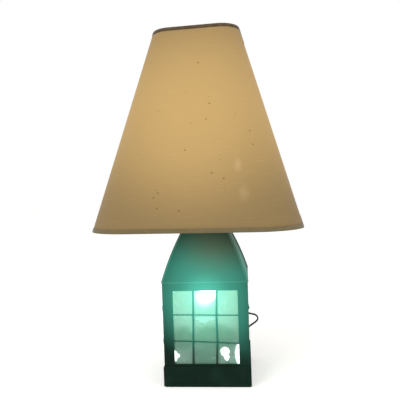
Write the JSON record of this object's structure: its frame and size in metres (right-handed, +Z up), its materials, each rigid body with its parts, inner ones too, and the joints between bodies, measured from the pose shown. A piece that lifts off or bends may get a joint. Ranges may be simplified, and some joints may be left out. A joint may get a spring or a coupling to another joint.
{
  "type": "lantern table lamp",
  "caption": "Table lamp with a square sheet-metal lantern base, glazed hinged door, small inner light and a tall square fabric shade.",
  "frame": {"origin": "centre of the underside, on the table", "axes": "+Z up through the stem and the shade; the lantern's door faces -Y and its hinge is on the -X side"},
  "size_m": [0.316, 0.3702, 0.5331],
  "materials": {
    "painted_sheet": "dark green paint on sheet metal",
    "plated_steel": "plated steel",
    "bare_iron": "cast iron",
    "polished_brass": "lacquered brass",
    "window_glass": "pale green hand-rolled glass",
    "bulb_glass": "frosted bulb glass",
    "bulb_metal": "bulb cap",
    "phenolic": "moulded insulator",
    "shade_linen": "linen laminated on a stiff liner",
    "binding_tape": "woven binding tape",
    "felt": "felt",
    "flex": "vinyl flex and plug"
  },
  "bodies": {
    "lantern": {"felt_pad": "felt", "base_plate": "plated_steel", "ballast_block": "bare_iron", "ballast_screws": "plated_steel", "plinth_band": "painted_sheet", "floor_pan": "painted_sheet", "case_shell": "painted_sheet", "roof_shell": "painted_sheet", "roof_cap": "painted_sheet", "left_bars": "painted_sheet", "left_glass": "window_glass", "right_bars": "painted_sheet", "right_glass": "window_glass", "side_glass_clips": "plated_steel", "hinge_case_leaves": "painted_sheet", "hinge_pins": "plated_steel", "lamp_stem": "polished_brass", "stem_washer": "plated_steel", "stem_nuts": "polished_brass", "neck_spacer": "polished_brass", "night_socket": "phenolic", "night_bulb_cap": "bulb_metal", "night_bulb_glass": "bulb_glass", "socket_cap": "polished_brass", "socket_shell": "polished_brass", "socket_core": "phenolic", "bulb_cap": "bulb_metal", "bulb_glass": "bulb_glass", "harp_saddle": "polished_brass", "harp_ferrules": "polished_brass", "harp_wire": "polished_brass", "cord_bushing": "flex", "cord_coil": "flex", "cord_tie": "flex", "cord_free": "flex", "inner_lead": "flex", "plug_body": "flex", "plug_prongs": "polished_brass"},
    "door": {"door_frame": "painted_sheet", "door_bars": "painted_sheet", "door_glass": "window_glass", "door_glass_clips": "plated_steel", "door_catch": "painted_sheet", "hinge_door_leaves": "painted_sheet"},
    "shade": {"shade_skin": "shade_linen", "shade_hub": "plated_steel", "shade_fitter": "plated_steel", "shade_bottom_ring": "plated_steel", "shade_bottom_trim": "binding_tape", "shade_top_trim": "binding_tape"},
    "finial_nut": {"finial": "polished_brass"},
    "knob": {"switch_knob": "phenolic"}
  },
  "joints": [
    {"name": "door_hinge", "type": "hinge", "parent": "lantern", "child": "door", "pos_m": [-0.06385, -0.05735, 0.09265], "axis": [0, 0, -1], "range_deg": [0, 110]},
    {"name": "shade_swivel", "type": "hinge", "parent": "lantern", "child": "shade", "pos_m": [0, 0, 0.503], "axis": [0, 0, 1], "continuous": true},
    {"name": "finial_turn", "type": "hinge", "parent": "lantern", "child": "finial_nut", "pos_m": [0, 0, 0.505], "axis": [0, 0, 1], "continuous": true},
    {"name": "switch_turn", "type": "hinge", "parent": "lantern", "child": "knob", "pos_m": [0, -0.015, 0.292], "axis": [0, -1, 0], "continuous": true}
  ]
}
